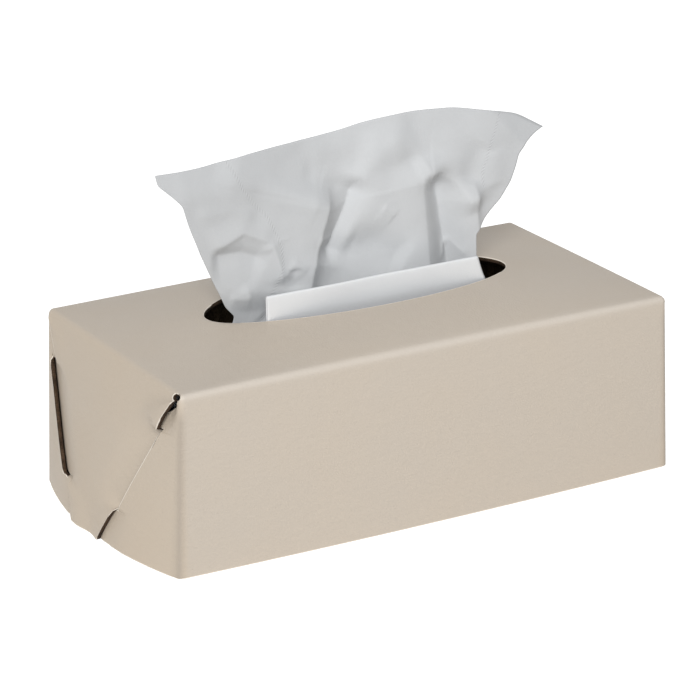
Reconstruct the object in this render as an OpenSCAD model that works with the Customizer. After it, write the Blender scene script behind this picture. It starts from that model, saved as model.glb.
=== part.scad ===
// Tissue box holder: one folded sheet of leather over a block of interfolded tissues.
// X runs along the holder, Y from its front to its back, Z up.
// The origin is the middle of the surface that it stands on.

/* [Holder] */
// Length of the top between its end folds
holder_l = 250; // [220:1:300]
// Depth of the top between its front and back folds
holder_d = 132; // [126:1:150]
// Height of the folds above the table
holder_h = 84; // [75:1:110]
// Thickness of the leather
leather_t = 2; // [1.2:0.1:2.4]
// Outer radius of a fold
fold_r = 2.5; // [2.5:0.1:5]
// Rise of the domed top in its middle
dome_rise = 10; // [4:0.5:14]
// How far the front and back bow outwards at their foot
wall_bow = 2.3; // [0:0.1:4]
// How far each corner flares outwards at its foot
foot_flare = 3.2; // [0:0.1:6]
// How far the middle of an end bulges past its corners at its foot
end_bulge = 10; // [4:0.5:14]

/* [Opening] */
// Length of the oval opening
opening_l = 155; // [130:1:180]
// Width of the oval opening
opening_w = 58; // [46:1:70]

/* [End flaps] */
// Width of an end flap along the table
flap_tip_w = 26; // [24:1:34]
// How far a flap's tip is pulled to one side
flap_lean = 5; // [0:0.5:6]
// Diameter of the relief hole beside each top corner
relief_d = 3.8; // [3.4:0.1:4.4]
// How far a wing's slit starts below the top
slit_drop = 17; // [16:1:26]
// Bottom end of a wing's slit above the table
slit_foot = 18; // [14:1:22]
// Width that a slit is cut
slit_w = 1; // [0.8:0.1:1.4]
// How far a slit lies outside the flap's edge
slit_off = 1.6; // [1.5:0.1:3]
// How far a tab reaches through its slit
tab_reach = 12; // [8:1:14]
// How far a wing reaches under the flap
wing_under = 10.5; // [8:0.5:11]
// Air between two layers of leather
layer_gap = 0.5; // [0.4:0.1:0.8]

/* [Tissues] */
// Width of a tissue
tissue_w = 210; // [190:1:214]
// Depth of a folded tissue in the stack
stack_d = 105; // [98:1:110]
// Height of the stack that is left
stack_h = 48; // [30:1:50]
// Number of folds that show at the stack's side
stack_folds = 12; // [8:1:20]
// Height of the drawn tissue's top edge above the table
tissue_top = 170; // [150:1:180]
// Room beside the drawn tissue at each end of the opening
neck_room = 13.5; // [10:0.5:20]
// Thickness of a drawn tissue with the air between its plies
tissue_t = 0.8; // [0.6:0.1:1.2]
// Room beside the next tissue at each end of the opening
next_room = 20.5; // [18:0.5:30]
// How far the next tissue's fold stands above the edge of the opening
next_rise = 12; // [6:1:16]
// Air between a tissue and what it leans on
rest_gap = 0.3; // [0.2:0.1:0.5]

/* [Hidden] */

// Numbers of steps that each stretch of the sheet is drawn with
FRONT_STEPS = 24;
END_STEPS = 14;
CORNER_STEPS = 4;
TOP_STEPS = 5;
BEND_STEPS = 4;
LIP_STEPS = 5;
STRIP_STEPS = 3;
TAB_STEPS = 3;

half_l = holder_l / 2;
half_d = holder_d / 2;
crease_x = half_l - fold_r;
crease_y = half_d - fold_r;
bend_foot = holder_h - fold_r;
// Two layers of leather lie this far apart, middle to middle
pitch = leather_t + layer_gap;
sink = pitch / 2;
slit_top = holder_h - slit_drop;
neck_w = opening_l - 2 * neck_room;
next_l = opening_l - 2 * next_room;

// Heights of the rows of points down the walls, with a row at each end of a slit and of a tab
LAYER_RAMP = 4;
TAB_RAMP = 3;
layer_full = bend_foot - LAYER_RAMP;
tab_top = slit_top - TAB_RAMP;
tab_foot = slit_foot + TAB_RAMP;
TAB_ROWS = 4;
WALL_Z = concat(
    [bend_foot, bend_foot - LAYER_RAMP / 2, layer_full, (layer_full + slit_top) / 2, slit_top],
    [for (i = [0:TAB_ROWS]) tab_top + (tab_foot - tab_top) * i / TAB_ROWS],
    [slit_foot, slit_foot / 2, 0]
);
WALL_STEPS = len(WALL_Z) - 1;
SLIT_FIRST = 4;
TAB_FIRST = SLIT_FIRST + 1;
TAB_LAST = TAB_FIRST + TAB_ROWS;
SLIT_LAST = TAB_LAST + 1;

function clamp01(a) = min(1, max(0, a));
function smooth(a) = let (b = clamp01(a)) b * b * (3 - 2 * b);
function mix(a, b, f) = a + (b - a) * f;
function turned(half, p) = half == 0 ? p : [-p.x, -p.y, p.z];
function mirrored(side, p) = [side * p.x, p.y, p.z];

// Outline of the box at a height: the top is domed and the walls lean and bow outwards
function foot_share(z) = clamp01(1 - z / holder_h);
function square_fall(a) = max(0, 1 - a * a);
function dome(x, y) = dome_rise * square_fall(x / half_l) * square_fall(y / half_d);
function bow(w, z) = wall_bow * square_fall(w) * foot_share(z);
// The end bulges early below the top and then runs down nearly upright
BELLY = 2.5;
function bulge(y, z) = end_bulge * square_fall(y / crease_y) * (1 - pow(1 - foot_share(z), BELLY));
function flare(z) = foot_flare * foot_share(z);

// The flap's edge, the slit and the wing's hidden edge at a height, as distances from the middle of the end
function flap_half(z) = mix(flap_tip_w / 2, crease_y, z / bend_foot);
function slit_at(z) = flap_half(z) + slit_off;
function lean_at(z) = flap_lean * clamp01(1 - z / tab_foot);
function flap_edge(z, side) = z < slit_foot
    ? flap_half(z) + side * lean_at(z)
    : min(flap_half(z) + side * lean_at(z), slit_at(z) - slit_w);
RELIEF_KERF = 0.8;
function under_at(z) = mix(-RELIEF_KERF, wing_under, clamp01((layer_full - z) / (layer_full - tab_top)));
function wing_edge(z) = flap_half(z) - under_at(z);
CREASE_CLEAR = 4;
function tab_end(z) = min(slit_at(z) + tab_reach, crease_y - CREASE_CLEAR);

// How far a layer lies outside the end's own surface, where a is its distance from the middle of the end
FLAP_FLAT = 16;
WING_FLAT = 18;
CREASE_HOLD = 6;
function inside_slit(a, z) = slit_at(z) - a;
function tucked(z) = smooth((slit_top - z) / TAB_RAMP) * smooth((z - slit_foot) / TAB_RAMP);
function parted(z) = smooth((bend_foot - z) / LAYER_RAMP);
function near_edge(a, z) = 1 - smooth((inside_slit(a, z) - FLAP_FLAT) / FLAP_FLAT);
function wing_sunk(a, z) =
    -sink * smooth((crease_y - a) / CREASE_HOLD) * smooth(1 + inside_slit(a, z) / WING_FLAT);
function flap_through(a, z) =
    near_edge(a, z) * sink * max(-1, min(1, inside_slit(a, z) / tab_reach));
function flap_out(a, z) = mix(
    near_edge(a, z) * parted(z) * (wing_sunk(a, z) + pitch),
    flap_through(a, z),
    tucked(z)
);
function lip_out(a, z) = let (
        past = a - tab_end(z),
        fall = min(FLAP_FLAT, crease_y - tab_end(z))
    ) (flap_through(min(a, tab_end(z)), z) + pitch) * (1 - smooth(past / fall));
function wing_out(a, z) = mix(
    wing_sunk(a, z) * parted(z),
    a < slit_at(z) ? flap_through(a, z) - pitch : lip_out(a, z),
    tucked(z)
);

// A point of the outer skin with the direction across the leather there.
// The right-hand end is worked out, and the left-hand one is its mirror image.
function end_skin(y, z, out) = [
    [half_l + flare(z) + bulge(y, z) + out, y, z],
    [1, 0, 0]
];

// Stations run round half of the top: left-hand corner, front, right-hand corner, right-hand end
WALL_STATIONS = 2 * CORNER_STEPS + FRONT_STEPS;
HALF_STATIONS = WALL_STATIONS + END_STEPS;
TOP_STATIONS = FRONT_STEPS + END_STEPS;
function station_top(s) =
    s <= CORNER_STEPS ? 0 :
    s <= CORNER_STEPS + FRONT_STEPS ? s - CORNER_STEPS :
    s <= WALL_STATIONS ? FRONT_STEPS : s - 2 * CORNER_STEPS;
function top_base(j) = j <= FRONT_STEPS
    ? [mix(-crease_x, crease_x, j / FRONT_STEPS), -crease_y]
    : [crease_x, mix(-crease_y, crease_y, (j - FRONT_STEPS) / END_STEPS)];
function station_angle(s) =
    s <= CORNER_STEPS ? 180 + 90 * s / CORNER_STEPS :
    s <= CORNER_STEPS + FRONT_STEPS ? 270 :
    s <= WALL_STATIONS ? 270 + 90 * (s - CORNER_STEPS - FRONT_STEPS) / CORNER_STEPS : 360;

function top_skin(j, k) = let (
        base = top_base(j),
        turn = atan2(base.y / half_d, base.x / half_l),
        rim = [opening_l / 2 * cos(turn), opening_w / 2 * sin(turn)],
        p = mix(rim, base, k / TOP_STEPS)
    ) [[p.x, p.y, holder_h + dome(p.x, p.y)], [0, 0, 1]];
function side_out(s, z) =
    s > CORNER_STEPS && s < CORNER_STEPS + FRONT_STEPS
        ? bow(top_base(station_top(s)).x / crease_x, z) :
    s > WALL_STATIONS ? bulge(top_base(station_top(s)).y, z) : 0;
function belt_skin(s, fall, z_flat) = let (
        base = top_base(station_top(s)),
        n = [cos(station_angle(s)), sin(station_angle(s))],
        x = base.x * (1 + flare(z_flat) / crease_x),
        p = [x, base.y] + n * (fold_r * sin(fall) + side_out(s, z_flat))
    ) [[p.x, p.y, z_flat + dome(p.x, p.y) * cos(fall)], [n.x * sin(fall), n.y * sin(fall), cos(fall)]];
function bend_skin(s, r) = let (fall = 90 * r / BEND_STEPS)
    belt_skin(s, fall, bend_foot + fold_r * cos(fall));
function wall_skin(s, r) = belt_skin(s, 90, WALL_Z[r]);

// The flap, from its front edge to its back edge. Its tip leans to the front on the right-hand end.
function flap_skin(l, r) = let (
        z = WALL_Z[r],
        y = mix(-flap_edge(z, 1), flap_edge(z, -1), l / END_STEPS)
    ) end_skin(y, z, flap_out(abs(y), z));
function tab_skin(side, q, r) = let (
        z = WALL_Z[r],
        a = mix(flap_edge(z, -side), tab_end(z), q / TAB_STEPS)
    ) end_skin(side * a, z, flap_out(a, z));

// A wing, from the upright fold to its edge under the flap, with the slit between its two columns of lips
WING_COLS = LIP_STEPS + 1 + STRIP_STEPS;
function wing_reach_at(c, z) = c <= LIP_STEPS
    ? mix(crease_y, slit_at(z) + slit_w / 2, c / LIP_STEPS)
    : mix(slit_at(z) - slit_w / 2, wing_edge(z), (c - LIP_STEPS - 1) / STRIP_STEPS);
function wing_place(c, z) = z <= slit_top
    ? wing_reach_at(c, z)
    : mix(crease_y, wing_edge(z),
        (crease_y - wing_reach_at(c, slit_top)) / (crease_y - wing_edge(slit_top)));
function wing_skin(c, r) = let (
        z = WALL_Z[r],
        a = wing_place(c, z),
        lip = c <= LIP_STEPS ? max(a, slit_at(z)) : a
    ) end_skin(-a, z, wing_out(z > slit_top ? a : c <= LIP_STEPS ? lip : a, z));

// The skin's points in one list, one half after the other, and where each stretch of it starts
TOP_COUNT = TOP_STATIONS * (TOP_STEPS + 1);
BEND_COUNT = HALF_STATIONS * BEND_STEPS;
WALL_COUNT = (WALL_STATIONS + 1) * WALL_STEPS;
FLAP_COUNT = (END_STEPS + 1) * WALL_STEPS;
WING_COUNT = WING_COLS * WALL_STEPS;
TAB_COUNT = TAB_STEPS * (TAB_ROWS + 1);
BEND_START = TOP_COUNT;
WALL_START = BEND_START + BEND_COUNT;
FLAP_START = WALL_START + WALL_COUNT;
WING_START = FLAP_START + FLAP_COUNT;
TAB_START = WING_START + 2 * WING_COUNT;
HALF_COUNT = TAB_START + 2 * TAB_COUNT;
SKIN_COUNT = 2 * HALF_COUNT;

function half_skin() = concat(
    [for (j = [0:TOP_STATIONS - 1], k = [0:TOP_STEPS]) top_skin(j, k)],
    [for (s = [0:HALF_STATIONS - 1], r = [1:BEND_STEPS]) bend_skin(s, r)],
    [for (s = [0:WALL_STATIONS], r = [1:WALL_STEPS]) wall_skin(s, r)],
    [for (l = [0:END_STEPS], r = [1:WALL_STEPS]) flap_skin(l, r)],
    [for (side = [-1, 1], c = [1:WING_COLS], r = [1:WALL_STEPS])
        [for (v = wing_skin(c, r)) mirrored(side, v)]],
    [for (side = [-1, 1], q = [1:TAB_STEPS], r = [TAB_FIRST:TAB_LAST]) tab_skin(side, q, r)]
);

// Columns of point numbers, each from the top down
function top_column(h, j) = j == TOP_STATIONS ? top_column(1 - h, 0) :
    [for (k = [0:TOP_STEPS]) h * HALF_COUNT + j * (TOP_STEPS + 1) + k];
function bend_column(h, s) = s == HALF_STATIONS ? bend_column(1 - h, 0) : concat(
    [h * HALF_COUNT + station_top(s) * (TOP_STEPS + 1) + TOP_STEPS],
    [for (r = [1:BEND_STEPS]) h * HALF_COUNT + BEND_START + s * BEND_STEPS + r - 1]
);
function crease_point(h, s) = bend_column(h, s)[BEND_STEPS];
function column(first, start, n) = concat([first], [for (r = [0:n - 1]) start + r]);
function wall_column(h, s) =
    column(crease_point(h, s), h * HALF_COUNT + WALL_START + s * WALL_STEPS, WALL_STEPS);
function flap_column(h, l) = column(crease_point(h, WALL_STATIONS + l),
    h * HALF_COUNT + FLAP_START + l * WALL_STEPS, WALL_STEPS);
// Wing 0 grows from the left-hand upright fold and wing 1 from the right-hand one
function wing_column(h, w, c) = c == 0 ? wall_column(h, w * WALL_STATIONS) :
    column(crease_point(h, w * WALL_STATIONS),
        h * HALF_COUNT + WING_START + w * WING_COUNT + (c - 1) * WALL_STEPS, WALL_STEPS);
function tab_column(h, b, q) = q == 0
    ? [for (r = [TAB_FIRST:TAB_LAST]) flap_column(h, b * END_STEPS)[r]]
    : [for (r = [0:TAB_ROWS]) h * HALF_COUNT + TAB_START + b * TAB_COUNT + (q - 1) * (TAB_ROWS + 1) + r];
function rows(col, first, last) = [for (r = [first:last]) col[r]];

// Faces between two columns that stand side by side, the first of them on the left seen from outside
function quad(a, b, c, d) = a == d ? [[a, b, c]] : [[a, b, c], [a, c, d]];
function between(left, right) = [
    for (r = [0:len(left) - 2], f = quad(left[r], left[r + 1], right[r + 1], right[r])) f
];
function across(columns) = [
    for (i = [0:len(columns) - 2], f = between(columns[i], columns[i + 1])) f
];
function flipped(list) = [for (i = [len(list) - 1:-1:0]) list[i]];

WING_LIP = LIP_STEPS;
WING_STRIP = LIP_STEPS + 1;
function wing_faces(h, w) = let (
        cols = [for (c = [0:WING_COLS]) wing_column(h, w, c)],
        lips = [for (c = [0:WING_LIP]) cols[c]],
        strip = [for (c = [WING_STRIP:WING_COLS]) cols[c]],
        above = [rows(cols[WING_LIP], 0, SLIT_FIRST), rows(cols[WING_STRIP], 0, SLIT_FIRST)],
        below = [
            rows(cols[WING_LIP], SLIT_LAST, WALL_STEPS),
            rows(cols[WING_STRIP], SLIT_LAST, WALL_STEPS)
        ]
    ) concat([for (part = [lips, above, strip, below], f = across(w == 1 ? part : flipped(part))) f]);
function tab_faces(h, b) = let (cols = [for (q = [0:TAB_STEPS]) tab_column(h, b, q)])
    across(b == 1 ? cols : flipped(cols));
function half_faces(h) = concat(
    across([for (j = [0:TOP_STATIONS]) top_column(h, j)]),
    across([for (s = [0:HALF_STATIONS]) bend_column(h, s)]),
    across([for (s = [0:WALL_STATIONS]) wall_column(h, s)]),
    across([for (l = [0:END_STEPS]) flap_column(h, l)]),
    wing_faces(h, 0),
    wing_faces(h, 1),
    tab_faces(h, 0),
    tab_faces(h, 1)
);

// Cut edges, each a run of points with the leather on its left
function foot_run(columns) = [for (c = columns) c[len(c) - 1]];
function slit_run(h, w) = let (
        lip = rows(wing_column(h, w, WING_LIP), SLIT_FIRST, SLIT_LAST),
        strip = rows(wing_column(h, w, WING_STRIP), SLIT_FIRST, SLIT_LAST),
        loop = concat(flipped(lip), strip, [lip[len(lip) - 1]])
    ) w == 1 ? loop : flipped(loop);
function wing_run(h, w) = let (
        cols = [for (c = [0:WING_COLS]) wing_column(h, w, c)],
        run = concat(foot_run(cols), flipped(rows(cols[WING_COLS], 0, WALL_STEPS - 1)))
    ) w == 1 ? run : flipped(run);
function flap_edge_run(h, b) = let (
        edge = flap_column(h, b * END_STEPS),
        tab = [for (q = [0:TAB_STEPS]) tab_column(h, b, q)],
        down = concat(
            rows(edge, 0, TAB_FIRST - 1),
            [for (q = [0:TAB_STEPS]) tab[q][0]],
            rows(tab[TAB_STEPS], 1, TAB_ROWS - 1),
            [for (q = [TAB_STEPS:-1:0]) tab[q][TAB_ROWS]],
            rows(edge, TAB_LAST + 1, WALL_STEPS)
        )
    ) b == 0 ? down : flipped(down);
function half_runs(h) = [
    flipped([for (j = [0:TOP_STATIONS]) top_column(h, j)[0]]),
    foot_run([for (s = [0:WALL_STATIONS]) wall_column(h, s)]),
    concat(
        flap_edge_run(h, 0),
        [for (l = [1:END_STEPS - 1]) flap_column(h, l)[WALL_STEPS]],
        flap_edge_run(h, 1)
    ),
    wing_run(h, 0),
    wing_run(h, 1),
    slit_run(h, 0),
    slit_run(h, 1)
];
function rim_faces(run, n) = [
    for (i = [0:len(run) - 2], f = quad(run[i + 1], run[i], run[i] + n, run[i + 1] + n)) f
];
function back_faces(faces, n) = [for (f = faces) [f[2] + n, f[1] + n, f[0] + n]];
function clockwise(faces) = [for (f = faces) flipped(f)];

// A sheet with thickness: its outer skin, the same skin moved through the leather, and its cut edges
module thick_sheet(skin, faces, runs, t) {
    n = len(skin);
    edges = [for (run = runs, f = rim_faces(run, n)) f];
    polyhedron(
        points = concat([for (v = skin) v[0]], [for (v = skin) v[0] - v[1] * t]),
        faces = clockwise(concat(faces, back_faces(faces, n), edges)),
        convexity = 10
    );
}

// Round relief holes where the cuts between flap and wing end, close to each top corner.
// Each is punched square to the leather, a little way up the fold.
RELIEF_TILT = 22;
RELIEF_IN = 1.3;
module relief_holes() {
    for (x = [-1, 1], y = [-1, 1])
        translate([x * crease_x, y * (crease_y - RELIEF_IN), bend_foot])
            rotate([0, x * (90 - RELIEF_TILT), 0])
                translate([0, 0, (fold_r - leather_t) / 2])
                    cylinder(d = relief_d, h = 2 * fold_r, $fn = 32);
}

module leather_cover() {
    skin = [for (h = [0, 1], v = half_skin()) [for (p = v) turned(h, p)]];
    color([0.78, 0.74, 0.68])
        difference() {
            thick_sheet(skin, concat(half_faces(0), half_faces(1)), concat(half_runs(0), half_runs(1)), leather_t);
            relief_holes();
        }
}

// Interfolded tissues: a block whose long sides show the rounded folds one above the other
FOLD_ARC = 5;
module tissue_stack() {
    fold_h = stack_h / stack_folds;
    function fold_y(a) = stack_d / 2 - fold_h / 2 * (1 - cos(a));
    side = [
        for (i = [0:stack_folds - 1], k = [0:FOLD_ARC])
            let (a = -75 + 150 * k / FOLD_ARC) [fold_y(a), fold_h * (i + 0.5 + sin(a) / 2 / sin(75))]
    ];
    color([0.86, 0.87, 0.88])
        translate([-tissue_w / 2, 0, 0])
            rotate([90, 0, 90])
                linear_extrude(tissue_w)
                    polygon(concat(side, [for (p = flipped(side)) [-p.x, p.y]]));
}

// A sheet drawn as a grid of points: columns from left to right, each from its top down
function grid_column(c, n) = [for (r = [0:n - 1]) c * n + r];
module grid_sheet(grid, across_way, t) {
    n = len(grid[0]);
    columns = [for (c = [0:len(grid) - 1]) grid_column(c, n)];
    last = columns[len(columns) - 1];
    run = concat(
        columns[0],
        [for (c = [1:len(columns) - 2]) columns[c][n - 1]],
        flipped(last),
        [for (c = [len(columns) - 2:-1:0]) columns[c][0]]
    );
    skin = [for (c = [0:len(grid) - 1], r = [0:n - 1]) [grid[c][r], across_way[c][r]]];
    thick_sheet(skin, across(columns), [run], t);
}
function unit(v) = v / norm(v);
function grid_slopes(grid) = let (m = len(grid), n = len(grid[0])) [
    for (c = [0:m - 1]) [
        for (r = [0:n - 1])
            let (
                along = grid[min(c + 1, m - 1)][r] - grid[max(c - 1, 0)][r],
                down = grid[c][min(r + 1, n - 1)] - grid[c][max(r - 1, 0)]
            ) unit(cross(down, along))
    ]
];

// The drawn tissue lies on the stack, turns up and stands in the opening, gathered where it comes out
DRAWN_COLS = 48;
DRAWN_ROWS = 22;
LYING_ROWS = 4;
TURN_ROWS = 4;
TURN_R = 8;
TOP_SPREAD = 0.965;
FOOT_SPREAD = 0.9;
STAND_Y = 0;
lying_z = stack_h + rest_gap;
neck_z = holder_h + dome_rise / 2;
turn_top = lying_z + TURN_R;
lying_y = stack_d / 2 - TURN_R;

// Main folds of the drawn tissue: place across it from -1 to 1, depth, width, and how high up they reach
DRAWN_FOLDS = [
    [-0.80, 4, 0.10, 0.5], [-0.55, -5, 0.09, 0.7], [-0.30, 6, 0.06, 0.7], [-0.14, -7, 0.06, 0.6],
    [0.05, 5, 0.08, 0.5], [0.24, -5, 0.08, 0.6], [0.42, 7, 0.07, 0.9], [0.60, -6, 0.08, 0.8],
    [0.80, 4, 0.10, 0.6]
];

// How far the top edge lies below its highest point, for places across the tissue from -1 to 1
TOP_DROP = [
    [-1, 10], [-0.8, 9], [-0.5, 6], [-0.2, 4], [0, 1.2], [0.15, 0], [0.3, 0], [0.5, 1.8], [0.65, 4],
    [0.8, 8.5], [1, 18]
];
function drawn_edge(s) = tissue_top - lookup(s, TOP_DROP);
// How the tissue spreads from its neck to its top edge. Its right-hand edge first stands straight up.
LEFT_SPREAD = [[0, 0], [0.07, 0.12], [0.31, 0.35], [0.53, 0.51], [0.68, 0.62], [0.81, 0.76], [0.91, 0.93], [1, 1]];
RIGHT_SPREAD = [[0, 0], [0.3, 0], [0.4, 0.13], [0.52, 0.35], [0.64, 0.51], [0.8, 0.59], [0.92, 0.7], [1, 0.97]];
function spread_share(s, up) = lookup(up, s > 0 ? RIGHT_SPREAD : LEFT_SPREAD);
function drawn_half(s, z) = z < neck_z
    ? mix(tissue_w / 2 * FOOT_SPREAD, neck_w / 2, smooth((z - lying_z) / (neck_z - lying_z)))
    : mix(neck_w / 2, tissue_w / 2 * TOP_SPREAD, spread_share(s, (z - neck_z) / (drawn_edge(s) - neck_z)));
function fold_fade(z, reach) = z < neck_z
    ? smooth((z - turn_top) / (neck_z - turn_top))
    : 1 - smooth((z - neck_z) / (tissue_top - neck_z) * reach);
function drawn_folds(s, z) = [
    for (f = DRAWN_FOLDS) f[1] * exp(-pow((s - f[0]) / f[2], 2)) * fold_fade(z, 1.6 - f[3])
] * [for (f = DRAWN_FOLDS) 1];
function drawn_path(s, r) = let (
        up = (DRAWN_ROWS - LYING_ROWS - TURN_ROWS - r) / (DRAWN_ROWS - LYING_ROWS - TURN_ROWS),
        round = (r - (DRAWN_ROWS - LYING_ROWS - TURN_ROWS)) / TURN_ROWS,
        flat = (r - (DRAWN_ROWS - LYING_ROWS)) / LYING_ROWS
    )
    up >= 0 ? [STAND_Y, mix(turn_top, drawn_edge(s), up)] :
    flat <= 0 ? [STAND_Y + TURN_R * (1 - cos(90 * round)), turn_top - TURN_R * sin(90 * round)] :
    [mix(STAND_Y + TURN_R, lying_y, flat), lying_z];
function drawn_point(s, r) = let (p = drawn_path(s, r))
    [s * drawn_half(s, p.y), p.x - drawn_folds(s, p.y), p.y];
module drawn_tissue() {
    grid = [for (c = [0:DRAWN_COLS]) [for (r = [0:DRAWN_ROWS]) drawn_point(2 * c / DRAWN_COLS - 1, r)]];
    color([0.85, 0.86, 0.87])
        grid_sheet(grid, grid_slopes(grid), tissue_t);
}

// The next tissue is folded double and leans on the front of the opening, its fold uppermost
NEXT_COLS = 8;
NEXT_TURN = 6;
NEXT_FOOT_Y = -10;
NEXT_TAPER = 5;
next_r = 1.5 * tissue_t;
rim_y = opening_w / 2 * sqrt(1 - pow(next_l / opening_l, 2));
rim_z = holder_h + dome(next_l / 2, rim_y);
function next_front(z) = mix(NEXT_FOOT_Y, rest_gap - rim_y, (z - lying_z) / (rim_z - lying_z));
function next_path() = let (
        top = rim_z + next_rise - next_r,
        middle = next_front(top) + next_r
    ) concat(
        [for (z = [lying_z, rim_z]) [next_front(z) + 2 * next_r, z]],
        [for (i = [0:NEXT_TURN]) let (a = 180 * i / NEXT_TURN)
            [middle + next_r * cos(a), top + next_r * sin(a)]],
        [for (z = [rim_z, lying_z]) [next_front(z), z]]
    );
function next_width(z) = next_l - 2 * NEXT_TAPER * clamp01((z - rim_z) / next_rise);
module next_tissue() {
    grid = [
        for (c = [0:NEXT_COLS]) [for (p = next_path()) [next_width(p.y) * (c / NEXT_COLS - 0.5), p.x, p.y]]
    ];
    color([0.88, 0.89, 0.90])
        grid_sheet(grid, grid_slopes(grid), tissue_t);
}

leather_cover();
tissue_stack();
drawn_tissue();
next_tissue();
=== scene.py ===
# %% [markdown]
# # A folded leather tissue box holder
#
# This lesson dresses a finished CAD model. The holder is one sheet of pale leather. Its four sides are bent down,
# each end flap is tucked through two pairs of slits, and an oval opening lets the tissues out of the domed top.
# The CAD model gives the frame. Everything is in metres: +X along the holder, +Y to its back, +Z up.

# %% Load the frame
import math
import bmesh
import bpy
import numpy as np
from mathutils import Matrix, Vector


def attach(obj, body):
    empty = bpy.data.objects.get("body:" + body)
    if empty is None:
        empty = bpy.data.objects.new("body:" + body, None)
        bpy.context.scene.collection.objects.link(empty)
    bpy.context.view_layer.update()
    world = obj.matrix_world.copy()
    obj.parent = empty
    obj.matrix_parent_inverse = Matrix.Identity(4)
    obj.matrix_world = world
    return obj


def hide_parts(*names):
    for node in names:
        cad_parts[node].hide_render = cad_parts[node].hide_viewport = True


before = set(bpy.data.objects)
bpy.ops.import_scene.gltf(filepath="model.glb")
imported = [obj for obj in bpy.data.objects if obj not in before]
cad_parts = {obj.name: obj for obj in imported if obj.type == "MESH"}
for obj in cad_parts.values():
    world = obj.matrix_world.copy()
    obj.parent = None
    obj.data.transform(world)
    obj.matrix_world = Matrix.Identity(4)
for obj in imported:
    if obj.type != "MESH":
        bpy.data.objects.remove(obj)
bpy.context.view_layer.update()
MM = 0.001
scene = bpy.context.scene

# %% [markdown]
# ## The camera
#
# A camera can be placed by eye or worked out. This one was worked out from the holder's corners, so the picture
# has the same perspective as the photograph: a long lens, turned thirty degrees to the right and looking down.

# %% Place the camera
CAMERA_PLACE = Vector((-0.713, -1.236, 0.582))
CAMERA_YAW = math.radians(29.829)
CAMERA_PITCH = math.radians(20.066)
CAMERA_ROLL = math.radians(-0.393)
LENS_PER_FRAME = 3316.0 / 700.0
SENSOR = 36.0


def camera_axes(yaw, pitch, roll):
    """The directions to the right, up and back of a camera that looks along +Y when its yaw and pitch are none."""
    ahead = Vector((math.sin(yaw) * math.cos(pitch), math.cos(yaw) * math.cos(pitch), -math.sin(pitch)))
    right = Vector((math.cos(yaw), -math.sin(yaw), 0.0))
    up = right.cross(ahead)
    return (right * math.cos(roll) + up * math.sin(roll), up * math.cos(roll) - right * math.sin(roll), -ahead)


def add_object(name, data):
    made = bpy.data.objects.new(name, data)
    scene.collection.objects.link(made)
    return made


camera = add_object("photo_camera", bpy.data.cameras.new("photo_camera"))
camera.matrix_world = Matrix.Translation(CAMERA_PLACE) @ Matrix(
    camera_axes(CAMERA_YAW, CAMERA_PITCH, CAMERA_ROLL)).transposed().to_4x4()
camera.data.sensor_width = SENSOR
camera.data.lens = SENSOR * LENS_PER_FRAME
camera.data.clip_end = 20.0
scene.camera = camera
print("lens of %.1f mm" % camera.data.lens)

# %% [markdown]
# ## The leather's sizes
#
# The cover is drawn again from the rules of the CAD model, only with many more points, so that its folds are round
# and its cut edges can be softened. All sizes here are in millimetres, and each is written once.

# %% Sizes of the cover, in millimetres
LONG, DEEP, HIGH = 250.0, 132.0, 84.0
LEATHER_T = 2.0
FOLD_R = 2.5
DOME_RISE = 10.0
WALL_BOW = 2.3
FOOT_FLARE = 3.2
END_BULGE = 10.0
BELLY = 2.5
OPENING_L, OPENING_W = 155.0, 58.0
TIP_W, TIP_LEAN = 26.0, 5.0
SLIT_TOP, SLIT_FOOT = 64.8, 18.6
SLIT_W, SLIT_OFF = 0.6, 0.3
TAB_REACH = 12.0
WING_UNDER = 10.5
LAYER_GAP = 0.3
CREASE_X, CREASE_Y = LONG / 2 - FOLD_R, DEEP / 2 - FOLD_R
BEND_FOOT = HIGH - FOLD_R
PITCH = LEATHER_T + LAYER_GAP
LAYER_RAMP, TAB_RAMP = 4.0, 1.6
LAYER_FULL = BEND_FOOT - LAYER_RAMP
TAB_TOP, TAB_FOOT = SLIT_TOP - TAB_RAMP, SLIT_FOOT + TAB_RAMP
print("the end flap passes its slits from", TAB_FOOT, "to", TAB_TOP, "mm above the table")

# %% [markdown]
# ## The rules of the folded sheet
#
# Leather bends but does not stretch much, so its shape follows simple rules: the top is domed, the front and back bow a
# little at their foot, and each end bulges most at its middle. At an end the flap crosses the wings. It lies over them
# near its edges, and its tabs pass under them through the slits.

# %% Rules of the sheet


def clamp01(a):
    return min(1.0, max(0.0, a))


def smooth(a):
    a = clamp01(a)
    return a * a * (3.0 - 2.0 * a)


def mix(a, b, f):
    return a + (b - a) * f


def square_fall(a):
    return max(0.0, 1.0 - a * a)


def foot_share(z):
    return clamp01(1.0 - z / HIGH)


def dome(x, y):
    return DOME_RISE * square_fall(x / (LONG / 2)) * square_fall(y / (DEEP / 2))


def bow(w, z):
    return WALL_BOW * square_fall(w) * foot_share(z)


def bulge(y, z):
    return END_BULGE * square_fall(y / CREASE_Y) * (1.0 - (1.0 - foot_share(z)) ** BELLY)


def flare(z):
    return FOOT_FLARE * foot_share(z)


FLAP_WAIST, WAIST_RAMP = 1.8, 16.0


def flap_half(z):
    waist = FLAP_WAIST * smooth((BEND_FOOT - z) / WAIST_RAMP) * clamp01(z / WAIST_RAMP)
    return mix(TIP_W / 2, CREASE_Y, z / BEND_FOOT) - waist


# One pair of slits at each end is cut nearer to the upright fold than the other, and a little lower
FAR_OFF_TOP, FAR_OFF_FOOT = 7.6, 6.6
FAR_DROP_TOP, FAR_DROP_FOOT = 1.8, 2.6


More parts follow.
